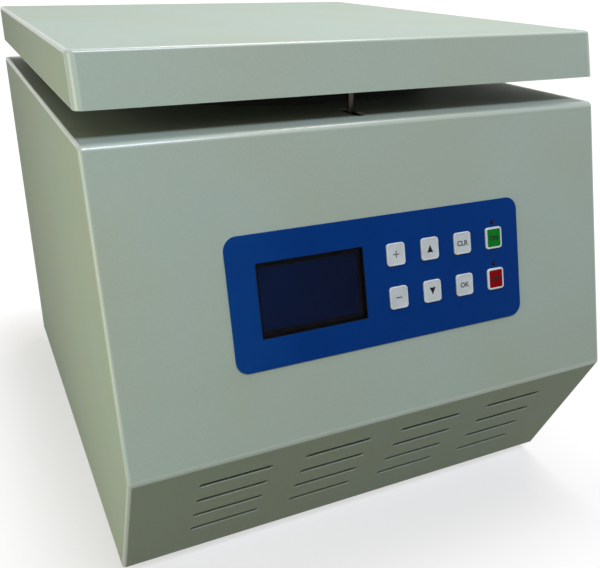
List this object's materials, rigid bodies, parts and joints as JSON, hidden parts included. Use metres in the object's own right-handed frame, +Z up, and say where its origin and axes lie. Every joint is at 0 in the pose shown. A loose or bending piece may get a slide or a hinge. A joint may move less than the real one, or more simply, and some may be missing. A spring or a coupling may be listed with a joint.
{
  "type": "benchtop centrifuge",
  "caption": "Benchtop centrifuge with a slanted keypad face, slotted lower panel, rear-hinged lid with lock, fixed-angle rotor on a motor, rear fan and mains inlet.",
  "frame": {"origin": "bottom centre of the bounding box, on the surface under the feet", "axes": "+X to the user's right, +Y to the back, +Z up; the keypad faces -Y"},
  "size_m": [0.4016, 0.5046, 0.394],
  "materials": {
    "cabinet_paint": "satin powder coat, pale grey-green",
    "zinc_sheet": "zinc-plated sheet",
    "foot_rubber": "black moulded rubber",
    "screw_steel": "zinc-plated screws",
    "bowl_stainless": "spun stainless steel",
    "guard_steel": "dark primer on steel",
    "motor_paint": "black motor paint",
    "machined_steel": "machined steel",
    "winding_copper": "enamelled copper and laminations",
    "rotor_alloy": "anodised aluminium",
    "nut_alloy": "dark anodised aluminium",
    "liner_alloy": "dark painted aluminium sheet",
    "hinge_steel": "dark painted steel",
    "overlay_blue": "satin blue polyester film",
    "window_tint": "tinted clear acrylic",
    "display_dark": "dark display glass and black frame",
    "board_green": "solder-masked glass fibre board",
    "key_white_rubber": "satin white",
    "key_green_plastic": "satin green in a pale frame",
    "key_red_plastic": "satin red in a pale frame",
    "lamp_red": "red lamp lens",
    "black_plastic": "black moulded plastic",
    "grille_wire": "plated wire",
    "fin_aluminium": "extruded aluminium",
    "cable_sheath": "black cable sheath"
  },
  "bodies": {
    "cabinet": {"base_plate": "zinc_sheet", "board_standoffs": "fin_aluminium", "cabinet_shell": "cabinet_paint", "case_screws": "screw_steel", "chamber_bowl": "bowl_stainless", "chamber_gasket": "foot_rubber", "control_board": "board_green", "deck_bracket_left": "zinc_sheet", "deck_bracket_right": "zinc_sheet", "display_module": "display_dark", "display_window": "window_tint", "drive_board": "board_green", "fan_frame": "black_plastic", "fan_grille": "grille_wire", "guard_ring": "guard_steel", "heat_sink": "fin_aluminium", "hinge_base_left": "hinge_steel", "hinge_base_right": "hinge_steel", "hinge_pins": "machined_steel", "indicator_lights": "lamp_red", "inlet_pins": "grille_wire", "keypad_overlay": "overlay_blue", "lock_housing": "zinc_sheet", "lock_solenoid": "black_plastic", "mid_deck": "zinc_sheet", "motor_bearings": "machined_steel", "motor_dampers": "foot_rubber", "motor_end_cap": "motor_paint", "motor_flange": "machined_steel", "motor_housing": "motor_paint", "motor_stator": "winding_copper", "power_inlet": "black_plastic", "rear_panel": "cabinet_paint", "rubber_feet": "foot_rubber", "shaft_boot": "foot_rubber", "speed_sensor": "black_plastic", "switch_housing": "black_plastic", "wiring_loom": "cable_sheath"},
    "lid": {"lid_shell": "cabinet_paint", "lid_liner": "liner_alloy", "striker_pin": "machined_steel", "striker_nut": "screw_steel", "lid_screws": "screw_steel", "hinge_arm_left": "hinge_steel", "hinge_arm_right": "hinge_steel"},
    "rotor": {"motor_shaft": "machined_steel", "rotor": "rotor_alloy"},
    "nut": {"rotor_nut": "nut_alloy"},
    "fan": {"fan_impeller": "black_plastic"},
    "lock": {"lock_bolt": "machined_steel", "lock_plunger": "machined_steel"},
    "rocker": {"power_rocker": "black_plastic"},
    "key_plus": {"key_plus": "key_white_rubber"},
    "key_minus": {"key_minus": "key_white_rubber"},
    "key_up": {"key_up": "key_white_rubber"},
    "key_down": {"key_down": "key_white_rubber"},
    "key_mode": {"key_mode": "key_white_rubber"},
    "key_enter": {"key_enter": "key_white_rubber"},
    "key_start": {"key_start": "key_green_plastic"},
    "key_stop": {"key_stop": "key_red_plastic"}
  },
  "joints": [
    {"name": "lid_hinge", "type": "hinge", "parent": "cabinet", "child": "lid", "pos_m": [0, 0.23, 0.3515], "axis": [-1, 0, 0], "range_deg": [0, 75]},
    {"name": "rotor_spin", "type": "hinge", "parent": "cabinet", "child": "rotor", "pos_m": [0, 0.0345, 0.22], "axis": [0, 0, 1], "continuous": true},
    {"name": "nut_turn", "type": "hinge", "parent": "rotor", "child": "nut", "pos_m": [0, 0.0345, 0.29], "axis": [0, 0, 1], "continuous": true},
    {"name": "fan_spin", "type": "hinge", "parent": "cabinet", "child": "fan", "pos_m": [0.09, 0.2265, 0.095], "axis": [0, 1, 0], "continuous": true},
    {"name": "lock_slide", "type": "slide", "parent": "cabinet", "child": "lock", "axis": [-1, 0, 0], "range_m": [0, 0.01], "stiffness_N_per_m": 200},
    {"name": "rocker_tilt", "type": "hinge", "parent": "cabinet", "child": "rocker", "pos_m": [-0.065, 0.2365, 0.045], "axis": [1, 0, 0], "range_deg": [0, 20]},
    {"name": "key_plus_press", "type": "slide", "parent": "cabinet", "child": "key_plus", "axis": [0, 0.9669, -0.2551], "range_m": [0, 0.0006], "stiffness_N_per_m": 1500},
    {"name": "key_minus_press", "type": "slide", "parent": "cabinet", "child": "key_minus", "axis": [0, 0.9669, -0.2551], "range_m": [0, 0.0006], "stiffness_N_per_m": 1500},
    {"name": "key_up_press", "type": "slide", "parent": "cabinet", "child": "key_up", "axis": [0, 0.9669, -0.2551], "range_m": [0, 0.0006], "stiffness_N_per_m": 1500},
    {"name": "key_down_press", "type": "slide", "parent": "cabinet", "child": "key_down", "axis": [0, 0.9669, -0.2551], "range_m": [0, 0.0006], "stiffness_N_per_m": 1500},
    {"name": "key_mode_press", "type": "slide", "parent": "cabinet", "child": "key_mode", "axis": [0, 0.9669, -0.2551], "range_m": [0, 0.0006], "stiffness_N_per_m": 1500},
    {"name": "key_enter_press", "type": "slide", "parent": "cabinet", "child": "key_enter", "axis": [0, 0.9669, -0.2551], "range_m": [0, 0.0006], "stiffness_N_per_m": 1500},
    {"name": "key_start_press", "type": "slide", "parent": "cabinet", "child": "key_start", "axis": [0, 0.9669, -0.2551], "range_m": [0, 0.0006], "stiffness_N_per_m": 1500},
    {"name": "key_stop_press", "type": "slide", "parent": "cabinet", "child": "key_stop", "axis": [0, 0.9669, -0.2551], "range_m": [0, 0.0006], "stiffness_N_per_m": 1500}
  ]
}
